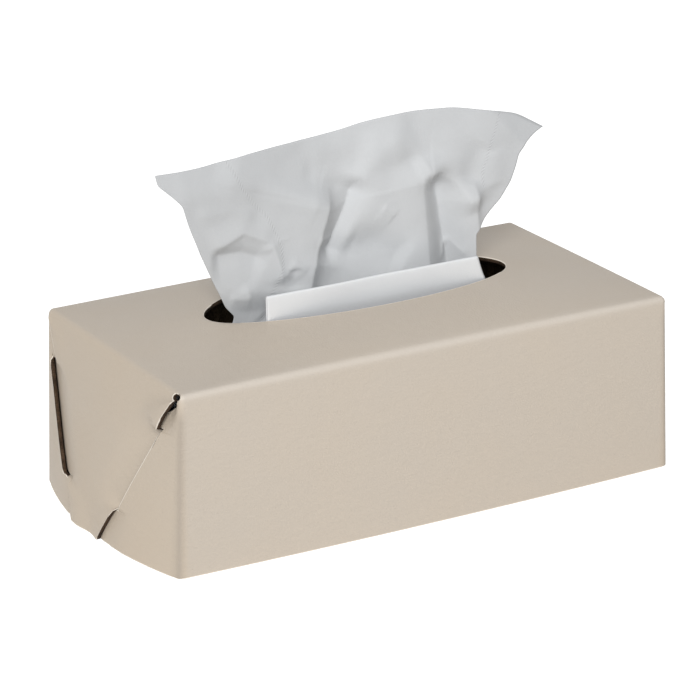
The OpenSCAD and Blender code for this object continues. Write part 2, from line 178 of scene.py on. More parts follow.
def slit_at(z, far):
    return flap_half(z) + SLIT_OFF + far * mix(FAR_OFF_FOOT, FAR_OFF_TOP, (z - SLIT_FOOT) / (SLIT_TOP - SLIT_FOOT))


def far_drop(z):
    """How much lower a row of points lies at the lower pair of slits."""
    between = mix(FAR_DROP_FOOT, FAR_DROP_TOP, (z - SLIT_FOOT) / (SLIT_TOP - SLIT_FOOT))
    return min(FAR_DROP_FOOT * z / SLIT_FOOT, between, FAR_DROP_TOP * (BEND_FOOT - z) / (BEND_FOOT - SLIT_TOP))


def lean_at(z):
    return TIP_LEAN * clamp01(1.0 - z / TAB_FOOT)


def flap_edge(z, side):
    edge = flap_half(z) + side * lean_at(z)
    return min(edge, slit_at(z, 0) - SLIT_W) if SLIT_FOOT <= z <= SLIT_TOP else edge


RELIEF_KERF = 0.8


def wing_edge(z):
    under = mix(-RELIEF_KERF, WING_UNDER, clamp01((LAYER_FULL - z) / (LAYER_FULL - TAB_TOP)))
    return flap_half(z) - under


CREASE_CLEAR = 1.8


def tab_end(z):
    return min(slit_at(z, 0) + TAB_REACH, CREASE_Y - CREASE_CLEAR)


# %% How far each layer of an end lies outside the end's own surface
FLAP_SETTLE, WING_SETTLE, LIP_SETTLE = 24.0, 12.0, 9.0
LIP_PROUD, FAR_LIP_PROUD, FAR_GAP = 0.1, 1.2, 0.5
ARCH_FROM, ARCH_TO = 0.15, 0.8
WING_SINK, EDGE_PROUD, TIP_PROUD, FAR_EDGE_SHARE = 0.9, 2.1, 0.4, 0.3
HOLE_RISE, HOLE_RAMP, SLOW_RAMP = 1.5, 2.2, 0.7


def tucked(z, inside=0.0):
    """1 where the flap's edge is under the wing; `inside` is how far in from the edge, where the change is slower."""
    slow = SLOW_RAMP * max(0.0, inside)
    long = TAB_RAMP + 2.0 * slow
    return smooth((SLIT_TOP + slow - z) / long) * smooth((z - SLIT_FOOT + slow) / long)


def parted(z, inside=0.0):
    return smooth((BEND_FOOT + HOLE_RISE - z) / (HOLE_RAMP + SLOW_RAMP * max(0.0, inside)))


def edge_lift(z):
    """How far the flap's free edge stands off the wing: most of all half way between the hole and the slit."""
    up = clamp01((z - SLIT_TOP) / (BEND_FOOT - SLIT_TOP))
    arch = EDGE_PROUD * math.sin(math.pi * mix(ARCH_FROM, ARCH_TO, up))
    return mix(arch, TIP_PROUD, smooth((SLIT_TOP - z) / (SLIT_TOP - SLIT_FOOT)))


def flap_over(a, z, far):
    """Where the flap lies over the wing."""
    inside = flap_half(z) - a
    flat = mix(1.0, FAR_EDGE_SHARE, far * smooth((z - SLIT_TOP + 8.0) / 8.0))
    settled = smooth(inside / min(FLAP_SETTLE, flap_half(z)))
    return flat * (PITCH - WING_SINK + edge_lift(z)) * parted(z, inside) * (1.0 - settled)


def wing_under(a, z, far):
    """Where the wing lies under the flap's edge: it gives way there and comes back towards the upright fold."""
    room = min(WING_SETTLE, max(0.1, CREASE_Y - flap_half(z)))
    sunk = min(-WING_SINK, flap_over(min(a, flap_half(z)), z, far) - PITCH) * parted(z)
    return sunk * (1.0 - smooth((a - flap_half(z)) / room))


def lip_proud(far):
    return FAR_LIP_PROUD if far else LIP_PROUD


def lip_out(a, z, far):
    slit = slit_at(z, far)
    return lip_proud(far) * (1.0 - smooth((a - slit) / min(LIP_SETTLE, CREASE_Y - slit)))


def flap_through(a, z, far):
    slit = slit_at(z, far)
    under = PITCH + far * FAR_GAP
    if a > slit:
        return lip_out(a, z, far) - under
    return (lip_proud(far) - under) * (1.0 - smooth((slit - a) / min(FLAP_SETTLE, slit)))


def flap_out(a, z, far):
    return mix(flap_over(a, z, far), flap_through(a, z, far), tucked(z, flap_half(z) - a))


def wing_out(a, z, far):
    threaded = flap_through(a, z, far) - PITCH if a < slit_at(z, far) else lip_out(a, z, far)
    return mix(wing_under(a, z, far), threaded, tucked(z))


# %% [markdown]
# ## Points of the sheet
#
# The sheet is cut into patches: the top, the rounded folds, the walls, and at each end a flap, two wings and two tabs.
# Every patch is a grid of points, closer together where the leather bends. The right-hand end is worked out, the
# left-hand one is its mirror image, and the second half of the holder is the first half turned round.

# %% Steps of the grids
FRONT_COLS, END_COLS, CORNER_COLS = 84, 60, 8
TOP_ROWS, BEND_ROWS = 14, 8
LIP_COLS, STRIP_COLS, TAB_COLS = 16, 8, 8


def spread(n, ends):
    """Places from 0 to 1, drawn together towards both ends by the share `ends`."""
    t = np.linspace(0.0, 1.0, n + 1)
    return (1.0 - ends) * t + ends * (0.5 - 0.5 * np.cos(np.pi * t))


def stretch(a, b, n):
    return list(np.linspace(a, b, n + 1)[1:])


WALL_Z = ([BEND_FOOT] + stretch(BEND_FOOT, LAYER_FULL, 7) + stretch(LAYER_FULL, SLIT_TOP, 7)
          + stretch(SLIT_TOP, TAB_TOP, 5) + stretch(TAB_TOP, TAB_FOOT, 24) + stretch(TAB_FOOT, SLIT_FOOT, 5)
          + stretch(SLIT_FOOT, 0.0, 9))
SLIT_FIRST = WALL_Z.index(SLIT_TOP)
SLIT_LAST = WALL_Z.index(SLIT_FOOT)
TAB_FIRST = WALL_Z.index(TAB_TOP)
TAB_LAST = WALL_Z.index(TAB_FOOT)
FRONT_AT = spread(FRONT_COLS, 0.6)
END_AT = spread(END_COLS, 0.75)

# %% Points of the top, the folds and the walls


def top_base(j):
    if j <= FRONT_COLS:
        return mix(-CREASE_X, CREASE_X, FRONT_AT[j]), -CREASE_Y
    return CREASE_X, mix(-CREASE_Y, CREASE_Y, END_AT[j - FRONT_COLS])


def top_point(j, k):
    bx, by = top_base(j)
    turn = math.atan2(by / DEEP, bx / LONG)
    rx, ry = OPENING_L / 2 * math.cos(turn), OPENING_W / 2 * math.sin(turn)
    x, y = mix(rx, bx, k / TOP_ROWS), mix(ry, by, k / TOP_ROWS)
    return (x, y, HIGH + dome(x, y)), (0.0, 0.0, 1.0)


WALL_COLS = 2 * CORNER_COLS + FRONT_COLS
HALF_COLS = WALL_COLS + END_COLS


def column_place(s):
    """The top station under a wall column, the way that the column faces, and how far along its wall it is."""
    if s <= CORNER_COLS:
        return 0, 180.0 + 90.0 * s / CORNER_COLS
    if s <= CORNER_COLS + FRONT_COLS:
        return s - CORNER_COLS, 270.0
    if s <= WALL_COLS:
        return FRONT_COLS, 270.0 + 90.0 * (s - CORNER_COLS - FRONT_COLS) / CORNER_COLS
    return s - 2 * CORNER_COLS, 360.0


def side_out(s, bx, by, z):
    if CORNER_COLS < s < CORNER_COLS + FRONT_COLS:
        return bow(bx / CREASE_X, z)
    return bulge(by, z) + flap_over(abs(by), z, by < 0) if s > WALL_COLS else 0.0


def belt_point(s, fall, z):
    j, facing = column_place(s)
    bx, by = top_base(j)
    nx, ny = math.cos(math.radians(facing)), math.sin(math.radians(facing))
    out = FOLD_R * math.sin(fall) + side_out(s, bx, by, z)
    x, y = bx * (1.0 + flare(z) / CREASE_X) + nx * out, by + ny * out
    return ((x, y, z + dome(x, y) * math.cos(fall)),
            (nx * math.sin(fall), ny * math.sin(fall), math.cos(fall)))


def bend_point(s, r):
    fall = 0.5 * math.pi * r / BEND_ROWS
    return belt_point(s, fall, BEND_FOOT + FOLD_R * math.cos(fall))


def wall_point(s, r):
    return belt_point(s, 0.5 * math.pi, WALL_Z[r])


# %% Points of the flap, the tabs and the wings


def end_point(y, z, out):
    return (LONG / 2 + flare(z) + bulge(y, z) + out, y, z), (1.0, 0.0, 0.0)


def flap_point(c, r):
    z = WALL_Z[r]
    y = mix(-flap_edge(z, 1), flap_edge(z, -1), END_AT[c])
    low = 1.0 - smooth(END_AT[c])
    return end_point(y, z - low * far_drop(z), flap_out(abs(y), z, y < 0))


def tab_point(side, q, r):
    z = WALL_Z[r]
    far = side < 0
    a = mix(flap_edge(z, -side), tab_end(z), q / TAB_COLS)
    return end_point(side * a, z - far * far_drop(z), flap_out(a, z, far))


WING_COLS = LIP_COLS + 1 + STRIP_COLS
LIP_AT = 1.0 - np.linspace(1.0, 0.0, LIP_COLS + 1) ** 1.3


def wing_reach(c, z, far):
    if c <= LIP_COLS:
        return mix(CREASE_Y, slit_at(z, far) + SLIT_W / 2, LIP_AT[c])
    return mix(slit_at(z, far) - SLIT_W / 2, wing_edge(z), (c - LIP_COLS - 1) / STRIP_COLS)


def wing_point(side, c, r):
    z = WALL_Z[r]
    far = side > 0
    if z <= SLIT_TOP:
        a = wing_reach(c, z, far)
    else:
        share = (CREASE_Y - wing_reach(c, SLIT_TOP, far)) / (CREASE_Y - wing_edge(SLIT_TOP))
        a = mix(CREASE_Y, wing_edge(z), share)
    lip = max(a, slit_at(z, far)) if c <= LIP_COLS and z <= SLIT_TOP else a
    low = far * far_drop(z) * smooth((CREASE_Y - a) / max(1.0, CREASE_Y - slit_at(z, far)))
    (x, y, z), across = end_point(-a, z - low, wing_out(lip, z, far))
    return (side * x, y, z), (side * across[0], across[1], across[2])


# %% [markdown]
# ## From points to a sheet with thickness
#
# Each patch becomes a net of faces, and doubled points are merged. The round relief holes are made in the net itself:
# faces inside a hole go, and the points left inside it move out to its rim. Then the skin is copied through the
# leather, each cut edge gets a wall, and a small bevel rounds its outer corner like the rubbed edge of real leather.

# %% Build the net of the outer skin
# Places in the list of materials. The finished outer side is first in it, which is what new faces get.
CUT_EDGE, SUEDE, PALE_RIM = 1, 2, 3


def patch(bm, across, n, m, point, half, first=0, flip=False):
    """Adds a grid of n + 1 columns, each of rows first to m, and turns it round for the second half."""
    turn = -1.0 if half else 1.0
    rows = []
    for c in range(n + 1):
        col = []
        for r in range(first, m + 1):
            (x, y, z), (ax, ay, az) = point(c, r)
            v = bm.verts.new((turn * x * MM, turn * y * MM, z * MM))
            v[across] = Vector((turn * ax, turn * ay, az))
            col.append(v)
        rows.append(col)
    for left, right in zip(rows[:-1], rows[1:]):
        for r in range(len(left) - 1):
            quad = [left[r], left[r + 1], right[r + 1], right[r]]
            face = bm.faces.new(quad[::-1] if flip else quad)
            face.smooth = True


def add_half(bm, across, half):
    patch(bm, across, FRONT_COLS + END_COLS, TOP_ROWS, top_point, half)
    patch(bm, across, HALF_COLS, BEND_ROWS, bend_point, half)
    patch(bm, across, WALL_COLS, len(WALL_Z) - 1, wall_point, half)
    patch(bm, across, END_COLS, len(WALL_Z) - 1, flap_point, half)
    for side in (1, -1):
        flip = side < 0
        # A wing grows from an upright fold: first its lip, then the strip beyond the slit
        last = len(WALL_Z) - 1
        patch(bm, across, LIP_COLS, last, lambda c, r: wing_point(side, LIP_COLS - c, r), half, flip=not flip)
        patch(bm, across, STRIP_COLS, last, lambda c, r: wing_point(side, WING_COLS - c, r), half, flip=not flip)
        join = lambda c, r: wing_point(side, LIP_COLS + 1 - c, r)
        patch(bm, across, 1, SLIT_FIRST, join, half, flip=not flip)
        patch(bm, across, 1, last, join, half, first=SLIT_LAST, flip=not flip)
        patch(bm, across, TAB_COLS, TAB_LAST, lambda c, r: tab_point(side, c, r), half, first=TAB_FIRST, flip=flip)


# %% Cut the relief holes
RELIEF_D = 3.5
# The front holes face half to the end and half to the front, and the back ones have slipped round to the back
FRONT_HOLE, FRONT_HOLE_WAY = (CREASE_X + 1.5, CREASE_Y - 2.9, BEND_FOOT + 0.1), Vector((0.466, 0.815, 0.343))
BACK_HOLE, BACK_HOLE_WAY = (CREASE_X, CREASE_Y + 1.2, BEND_FOOT), Vector((0.30, 0.90, 0.32)).normalized()


def punch(bm, centre, axis, radius):
    """Opens a round hole where the axis leaves the sheet."""
    def offset(v):
        w = v.co - centre
        return w - axis * w.dot(axis)
    near = [v for v in bm.verts if (v.co - centre).length < 3.0 * radius and (v.co - centre).dot(axis) > 0.0]
    inside = {v for v in near if offset(v).length < radius}
    gone = {f for v in inside for f in v.link_faces if all(w in inside for w in f.verts)}
    kept = {w for v in inside for f in v.link_faces if f not in gone for w in f.verts}
    bmesh.ops.delete(bm, geom=list(gone), context="FACES")
    for v in inside & kept:
        if v.is_valid and v.link_faces:
            away = offset(v)
            v.co += away.normalized() * (radius - away.length)


def relief_holes(bm):
    for sx in (-1, 1):
        for sy, (x, y, z), way in ((-1, FRONT_HOLE, FRONT_HOLE_WAY), (1, BACK_HOLE, BACK_HOLE_WAY)):
            axis = Vector((sx * way.x, sy * way.y, way.z))
            punch(bm, Vector((sx * x, sy * y, z)) * MM, axis, RELIEF_D / 2 * MM)


# %% Give the skin its thickness and soften its cut edges
EDGE_BEVEL = 0.4


def thicken(bm, across):
    skin, faces = list(bm.verts), list(bm.faces)
    cut = [e for e in bm.edges if e.is_boundary]
    twin = {v: bm.verts.new(v.co - v[across] * LEATHER_T * MM) for v in skin}
    for f in faces:
        back = bm.faces.new([twin[v] for v in reversed(f.verts)])
        back.smooth, back.material_index = True, SUEDE
    for e in cut:
        loop = e.link_loops[0]
        a, b = loop.vert, loop.link_loop_next.vert
        wall = bm.faces.new([b, a, twin[a], twin[b]])
        wall.smooth, wall.material_index = True, CUT_EDGE
    bmesh.ops.bevel(bm, geom=cut, offset=EDGE_BEVEL * MM, offset_type="OFFSET", segments=2, profile=0.5,
                    affect="EDGES", clamp_overlap=False, material=PALE_RIM)


def leather_net():
    bm = bmesh.new()
    across = bm.verts.layers.float_vector.new("across")
    for half in (0, 1):
        add_half(bm, across, half)
    bmesh.ops.remove_doubles(bm, verts=bm.verts, dist=0.004 * MM)
    slivers = [f for f in bm.faces if f.calc_area() < 1e-12]
    bmesh.ops.delete(bm, geom=slivers, context="FACES")
    relief_holes(bm)
    loose = [v for v in bm.verts if not v.link_faces]
    bmesh.ops.delete(bm, geom=loose, context="VERTS")
    thicken(bm, across)
    return bm


net = leather_net()
cover_mesh = bpy.data.meshes.new("leather_cover_folded")
net.to_mesh(cover_mesh)
net.free()
cover = add_object("leather_cover_folded", cover_mesh)
print("cover:", len(cover_mesh.polygons), "faces")

# %% [markdown]
# ## Painted shade and light on the leather
#
# The upright creases are painted a little darker as shade, the long top folds lighter as a highlight and the ends
# warmer as a cast of warm light.
# Each point stores how close it is to such a fold or end, and the material reads those numbers and shifts its tone. The
# shifts are matched and come on top of what light and shape give, so they stay under any other light.

# %% Store where the leather gets painted shade, a painted highlight and painted warm light, for the material
UPRIGHT_BAND, HIGHLIGHT_BAND = 1.7, 2.0


def store_folds(mesh):
    co = np.empty(len(mesh.vertices) * 3)
    mesh.vertices.foreach_get("co", co)
    x, y, z = np.abs(co.reshape(-1, 3)).T / MM
    leaning = FOOT_FLARE * np.clip(1.0 - z / HIGH, 0.0, 1.0)
    corner = np.hypot(x - (LONG / 2 - 0.6 + leaning), y - (DEEP / 2 - 0.3))
    # Painted shade: a dark band along each upright fold, where the crease lies in shade
    crease_shade = np.exp(-(corner / UPRIGHT_BAND) ** 2) * np.clip((HIGH - 4.0 - z) / 8.0, 0.0, 1.0)
    top_fold = np.hypot(y - (DEEP / 2 - 0.7), z - (HIGH - 0.7))
    # Painted highlight: a light band along each long top fold
    fold_highlight = np.exp(-(top_fold / HIGHLIGHT_BAND) ** 2)
    # Painted warm light: the ends get a warmer, slightly darker tint
    ends = np.clip((x - (LONG / 2 - 2.5)) / 2.5, 0.0, 1.0)
    for name, value in (("painted_crease_shade", crease_shade), ("painted_fold_highlight", fold_highlight), ("painted_end_warmth", ends)):
        mesh.attributes.new(name, "FLOAT", "POINT").data.foreach_set("value", value.astype(np.float32))


store_folds(cover_mesh)

# %% [markdown]
# ## Effects that several materials share
#
# Leather, its suede side and its cut edge all have fine random relief, and so has soft paper. A shader node group makes
# such relief once, with named inputs for its size and depth, and each material places it with values of its own.

# %% Helpers for node trees


def socket(tree, name, kind, way="INPUT", value=None):
    made = tree.interface.new_socket(name=name, in_out=way, socket_type=kind)
    if value is not None:
        made.default_value = value
    return made


def node(tree, kind, place, **settings):
    made = tree.nodes.new(kind)
    made.location = (place[0] * 200, place[1] * 200)
    for name, value in settings.items():
        setattr(made, name, value)
    return made


def put(tree, source, target):
    """Links an output to an input, or gives the input a plain value."""
    if isinstance(source, bpy.types.NodeSocket):
        tree.links.new(source, target)
    else:
        target.default_value = source


def maths(tree, place, operation, a, b=None, c=None, clamp=False):
    """A math node whose inputs are numbers or sockets, and its output."""
    made = node(tree, "ShaderNodeMath", place, operation=operation, use_clamp=clamp)
    for i, value in enumerate((a, b, c)):
        if value is not None:
            put(tree, value, made.inputs[i])
    return made.outputs[0]


def blend_colours(tree, place, factor, a, b, mode="MIX"):
    made = node(tree, "ShaderNodeMix", place, data_type="RGBA", blend_type=mode)
    for i, value in ((0, factor), (6, a), (7, b)):
        put(tree, value, made.inputs[i])
    return made.outputs[2]


# %% A group for fine relief and cloudy tone


def relief_group():
    tree = bpy.data.node_groups.new("grain_and_clouds", "ShaderNodeTree")
    socket(tree, "Place", "NodeSocketVector")
    socket(tree, "Grain Size", "NodeSocketFloat", value=0.0006)
    socket(tree, "Cloud Size", "NodeSocketFloat", value=0.02)
    socket(tree, "Pebble Share", "NodeSocketFloat", value=0.5)
    socket(tree, "Height", "NodeSocketFloat", "OUTPUT")
    socket(tree, "Clouds", "NodeSocketFloat", "OUTPUT")
    socket(tree, "Specks", "NodeSocketFloat", "OUTPUT")
    put_in = node(tree, "NodeGroupInput", (0, 0))
    put_out = node(tree, "NodeGroupOutput", (7, 0))
    fine = maths(tree, (1, 1), "DIVIDE", 1.0, put_in.outputs["Grain Size"])
    wide = maths(tree, (1, -1), "DIVIDE", 1.0, put_in.outputs["Cloud Size"])
    pebbles = node(tree, "ShaderNodeTexVoronoi", (2, 2), feature="SMOOTH_F1")
    pebbles.inputs["Smoothness"].default_value = 0.6
    hairs = node(tree, "ShaderNodeTexNoise", (2, 1))
    hairs.inputs["Detail"].default_value = 4.0
    clouds = node(tree, "ShaderNodeTexNoise", (2, -1))
    clouds.inputs["Detail"].default_value = 3.0
    specks = node(tree, "ShaderNodeTexNoise", (2, -2))
    specks.inputs["Detail"].default_value = 1.0
    for made, scale in ((pebbles, fine), (hairs, fine), (clouds, wide), (specks, fine)):
        put(tree, put_in.outputs["Place"], made.inputs["Vector"])
        put(tree, scale, made.inputs["Scale"])
    height = node(tree, "ShaderNodeMix", (4, 1), data_type="FLOAT")
    put(tree, put_in.outputs["Pebble Share"], height.inputs[0])
    put(tree, hairs.outputs["Fac"], height.inputs[2])
    put(tree, pebbles.outputs["Distance"], height.inputs[3])
    put(tree, height.outputs[0], put_out.inputs["Height"])
    put(tree, clouds.outputs["Fac"], put_out.inputs["Clouds"])
    put(tree, specks.outputs["Fac"], put_out.inputs["Specks"])
    return tree


RELIEF = relief_group()


def place_relief(tree, place, vector, **values):
    made = node(tree, "ShaderNodeGroup", place)
    made.node_tree = RELIEF
    put(tree, vector, made.inputs["Place"])
    for name, value in values.items():
        made.inputs[name.replace("_", " ")].default_value = value
    return made


def new_material(name, roughness, gloss=0.5):
    """A material, its tree and shader, and the place on the object that its patterns start from."""
    material = bpy.data.materials.new(name)
    material.use_nodes = True
    tree = material.node_tree
    tree.nodes.clear()
    out = node(tree, "ShaderNodeOutputMaterial", (12, 0))
    shader = node(tree, "ShaderNodeBsdfPrincipled", (10, 0))
    shader.inputs["Roughness"].default_value = roughness
    shader.inputs["Specular IOR Level"].default_value = gloss
    put(tree, shader.outputs[0], out.inputs[0])
    return material, tree, shader, node(tree, "ShaderNodeTexCoord", (0, 0)).outputs["Object"]


def bump(tree, shader, place, height, strength, distance):
    made = node(tree, "ShaderNodeBump", place)
    made.inputs["Strength"].default_value = strength
    made.inputs["Distance"].default_value = distance
    put(tree, height, made.inputs["Height"])
    put(tree, made.outputs[0], shader.inputs["Normal"])


# %% [markdown]
# ## Leather
#
# The outer side is smooth, finished leather: an even pale beige with a fine pebble, soft clouds of tone and a few long
# shallow wrinkles. Its shine is broad and weak. The cut edge shows the dark fibres of the hide, and the inner side is
# dark suede.

# %% The finished outer side
BEIGE = (0.580, 0.515, 0.440, 1.0)
BEIGE_WARM = (0.600, 0.522, 0.432, 1.0)
# Painted warm cast of light on the ends
END_WARM_LIGHT = (1.0, 0.972, 0.928, 1.0)
# Painted shade for the upright creases
CREASE_SHADE_TONE, CREASE_SHADE_MIX = (0.36, 0.31, 0.26, 1.0), 0.72
# Painted highlight for the long top folds
FOLD_HIGHLIGHT_TONE, FOLD_HIGHLIGHT_MIX = (0.70, 0.64, 0.57, 1.0), 0.6
SPECK_TONE, SPECK_MIX, SPECK_LIMIT = (0.25, 0.19, 0.14, 1.0), 0.25, 0.79
WRINKLE_SCALE, WRINKLE_SHARE = 260.0, 1.6
GRAIN_STRENGTH = 0.4


def outer_leather():
    material, tree, shader, place = new_material("finished_leather", 0.52, gloss=0.42)
    grain = place_relief(tree, (2, 1), place, Grain_Size=0.0009, Cloud_Size=0.035, Pebble_Share=0.55)
    tone = blend_colours(tree, (4, 2), grain.outputs["Clouds"], BEIGE, BEIGE_WARM)
    # Painted warm light on the ends
    ends = node(tree, "ShaderNodeAttribute", (2, 5), attribute_name="painted_end_warmth").outputs["Fac"]
    tone = blend_colours(tree, (4, 5), ends, tone, END_WARM_LIGHT, mode="MULTIPLY")
    # Painted shade in the upright creases
    crease_shade = node(tree, "ShaderNodeAttribute", (2, 3), attribute_name="painted_crease_shade").outputs["Fac"]
    # Painted highlight on the long top folds
    fold_highlight = node(tree, "ShaderNodeAttribute", (2, 4), attribute_name="painted_fold_highlight").outputs["Fac"]
    speck = maths(tree, (5, 0), "GREATER_THAN", grain.outputs["Specks"], SPECK_LIMIT)
    # The first two blends paint shade into the creases and a highlight onto the long folds; the dark specks are the
    # leather's own
    for col, where, share, colour in ((5, crease_shade, CREASE_SHADE_MIX, CREASE_SHADE_TONE),
                                      (6, fold_highlight, FOLD_HIGHLIGHT_MIX, FOLD_HIGHLIGHT_TONE), (7, speck, SPECK_MIX, SPECK_TONE)):
        tone = blend_colours(tree, (col, 2), maths(tree, (col - 1, 3), "MULTIPLY", where, share), tone, colour)
    put(tree, tone, shader.inputs["Base Color"])
    wrinkles = node(tree, "ShaderNodeTexNoise", (2, -1))
    squeeze = node(tree, "ShaderNodeMapping", (1, -1))
    squeeze.inputs["Scale"].default_value = (0.45, 0.45, 1.2)
    squeeze.inputs["Rotation"].default_value = (0.3, 0.5, 0.0)
    put(tree, place, squeeze.inputs["Vector"])
    put(tree, squeeze.outputs[0], wrinkles.inputs["Vector"])
    for name, value in (("Scale", WRINKLE_SCALE), ("Detail", 3.0), ("Distortion", 0.6)):
        wrinkles.inputs[name].default_value = value
    height = maths(tree, (6, -1), "MULTIPLY_ADD", wrinkles.outputs["Fac"], WRINKLE_SHARE, grain.outputs["Height"])
    bump(tree, shader, (8, -1), height, GRAIN_STRENGTH, 0.0004)
    rough = maths(tree, (6, -2), "MULTIPLY_ADD", grain.outputs["Clouds"], 0.16, 0.44)
    put(tree, rough, shader.inputs["Roughness"])
    return material


# %% The cut edge, the suede side and the pale rim
FIBRE_DARK = (0.018, 0.011, 0.006, 1.0)
FIBRE_LIGHT = (0.110, 0.068, 0.042, 1.0)
SUEDE_DARK, SUEDE_LIGHT = (0.020, 0.014, 0.008, 1.0), (0.110, 0.076, 0.048, 1.0)
RIM_TONE, RIM_LIGHT = (0.78, 0.70, 0.60, 1.0), (0.90, 0.83, 0.73, 1.0)


def fibre_leather(name, stretch_scale, dark, light, strength):
    material, tree, shader, place = new_material(name, 0.9, gloss=0.2)
    pull = node(tree, "ShaderNodeMapping", (1, 0))
    pull.inputs["Scale"].default_value = stretch_scale
    put(tree, place, pull.inputs["Vector"])
    fibres = place_relief(tree, (2, 0), pull.outputs[0], Grain_Size=0.0005, Cloud_Size=0.004, Pebble_Share=0.1)
    both = maths(tree, (4, 1), "MULTIPLY", fibres.outputs["Height"], fibres.outputs["Clouds"])
    share = maths(tree, (5, 1), "MULTIPLY_ADD", both, 3.2, -0.35, clamp=True)
    put(tree, blend_colours(tree, (6, 1), share, dark, light), shader.inputs["Base Color"])
    bump(tree, shader, (8, -1), fibres.outputs["Height"], strength, 0.0004)
    return material


def pale_rim():
    material, tree, shader, place = new_material("pale_rim", 0.55)
    grain = place_relief(tree, (2, 0), place, Grain_Size=0.0006, Cloud_Size=0.006, Pebble_Share=0.4)
    put(tree, blend_colours(tree, (4, 1), grain.outputs["Clouds"], RIM_TONE, RIM_LIGHT), shader.inputs["Base Color"])
    bump(tree, shader, (8, -1), grain.outputs["Height"], 0.3, 0.0002)
    return material


LEATHER_MATERIALS = (
    outer_leather(),
    fibre_leather("cut_fibres", (0.5, 0.5, 1.0), FIBRE_DARK, FIBRE_LIGHT, 0.6),
    fibre_leather("suede_side", (1.0, 0.35, 0.35), SUEDE_DARK, SUEDE_LIGHT, 0.5),
    pale_rim(),
)
for material in LEATHER_MATERIALS:
    cover_mesh.materials.append(material)

# %% [markdown]
# ## Soft paper
#
# A facial tissue is two thin plies of short fibres, matt and finely uneven. Two rows of small pressed dashes near its
# side edges hold the plies together. The left part looks greyer than this relief and lamp make it, so painted shade
# lowers its tone there. Like the painted light on the leather, that is no property of the paper. The left part looks
# greyer in the photograph than this relief and lamp make it, so its tone is lowered there. That is a matched tone too,
# and no property of the paper.

# %% The paper materials
PAPER = (0.645, 0.657, 0.668, 1.0)
PAPER_SHADE = (0.605, 0.617, 0.628, 1.0)
PRESSED_PAPER = (0.820, 0.835, 0.850, 1.0)
PRESSED_SHADE = (0.800, 0.815, 0.830, 1.0)
DASH_STEP, DASH_HALF_W, DASH_SLANT, DASH_DEPTH = 1.7, 0.9, 0.9, 1.1
# The painted shade starts this far left of the middle, and is full this much farther on, in metres
LEFT_PAINTED_SHADE = (0.90, 0.90, 0.90, 1.0)
LEFT_FROM, LEFT_BAND = 0.008, 0.030


def paper(name, base, shade, crimped=False):
    material, tree, shader, place = new_material(name, 0.95, gloss=0.12)
    fibres = place_relief(tree, (2, 0), place, Grain_Size=0.0011, Cloud_Size=0.008, Pebble_Share=0.15)
    tone = blend_colours(tree, (5, 1), fibres.outputs["Clouds"], shade, base)
    height = fibres.outputs["Height"]
    if crimped:
        apart = node(tree, "ShaderNodeSeparateXYZ", (4, 2))
        put(tree, place, apart.inputs[0])
        # Painted shade: the tone is lowered towards the left of the tissue
        left = maths(tree, (5, 2), "MULTIPLY_ADD", apart.outputs[0], -1.0 / LEFT_BAND, -LEFT_FROM / LEFT_BAND,
                     clamp=True)
        tone = blend_colours(tree, (6, 1), left, tone, LEFT_PAINTED_SHADE, "MULTIPLY")
        uv = node(tree, "ShaderNodeUVMap", (0, -2), uv_map="Crimps").outputs[0]
        parts = node(tree, "ShaderNodeSeparateXYZ", (1, -2))
        put(tree, uv, parts.inputs[0])
        away = maths(tree, (2, -3), "ABSOLUTE", parts.outputs[1])
        band = maths(tree, (3, -3), "SUBTRACT", 1.0, maths(tree, (2, -4), "DIVIDE", away, DASH_HALF_W * MM), clamp=True)
        slant = maths(tree, (2, -2), "MULTIPLY_ADD", parts.outputs[1], DASH_SLANT, parts.outputs[0])
        wave = maths(tree, (4, -2), "SINE", maths(tree, (3, -2), "MULTIPLY", slant, 2 * math.pi / (DASH_STEP * MM)))
        dash = maths(tree, (5, -2), "MULTIPLY", maths(tree, (5, -3), "POWER", band, 0.5), wave)
        height = maths(tree, (6, -1), "MULTIPLY_ADD", dash, DASH_DEPTH, height)
    put(tree, tone, shader.inputs["Base Color"])
    bump(tree, shader, (8, -1), height, 0.35, 0.00025)
    return material


TISSUE_PAPER = paper("soft_paper", PAPER, PAPER_SHADE, crimped=True)
STRIP_PAPER = paper("pressed_paper", PRESSED_PAPER, PRESSED_SHADE)

# %% [markdown]
# ## The drawn tissue
#
# The standing tissue is the loosest shape here: gathered in the opening, creased by the fingers that pulled it, and
# spread at the top. A cloth simulation would give creases, but not these ones, so it is modelled like a relief. A grid
# of points gets its outline from a few tables, and each crease is a stroke: a line along which the paper comes forward
# or goes back, sharply on one side and softly on the other.

# %% Outline of the drawn tissue
STACK_H, STACK_D, TISSUE_W = 48.0, 105.0, 210.0
REST_GAP = 0.3
TISSUE_TOP = 170.0
TURN_R = 8.0
LYING_Z = STACK_H + REST_GAP + 0.4
TURN_TOP = LYING_Z + TURN_R
NECK_Z = HIGH + DOME_RISE / 2
NECK_HALF = 64.0
TOP_HALF = 101.0
FOOT_HALF = 94.5
TOP_DROP = ((-1, 10), (-0.9, 10), (-0.78, 9.6), (-0.59, 7), (-0.34, 5), (-0.09, 3), (0.04, 1), (0.17, 0), (0.3, 0),
            (0.49, 1.2), (0.7, 6), (0.84, 10), (1, 19.5))
LEFT_SPREAD = ((0, 0), (0.07, 0.12), (0.25, 0.28), (0.43, 0.43), (0.62, 0.57), (0.78, 0.67), (0.85, 0.8), (0.93, 0.97),
               (1, 1))
RIGHT_SPREAD = ((0, -0.07), (0.3, -0.07), (0.4, 0.1), (0.52, 0.33), (0.65, 0.49), (0.76, 0.57), (0.84, 0.61),
                (0.92, 0.73), (0.97, 0.88), (1, 1.05))


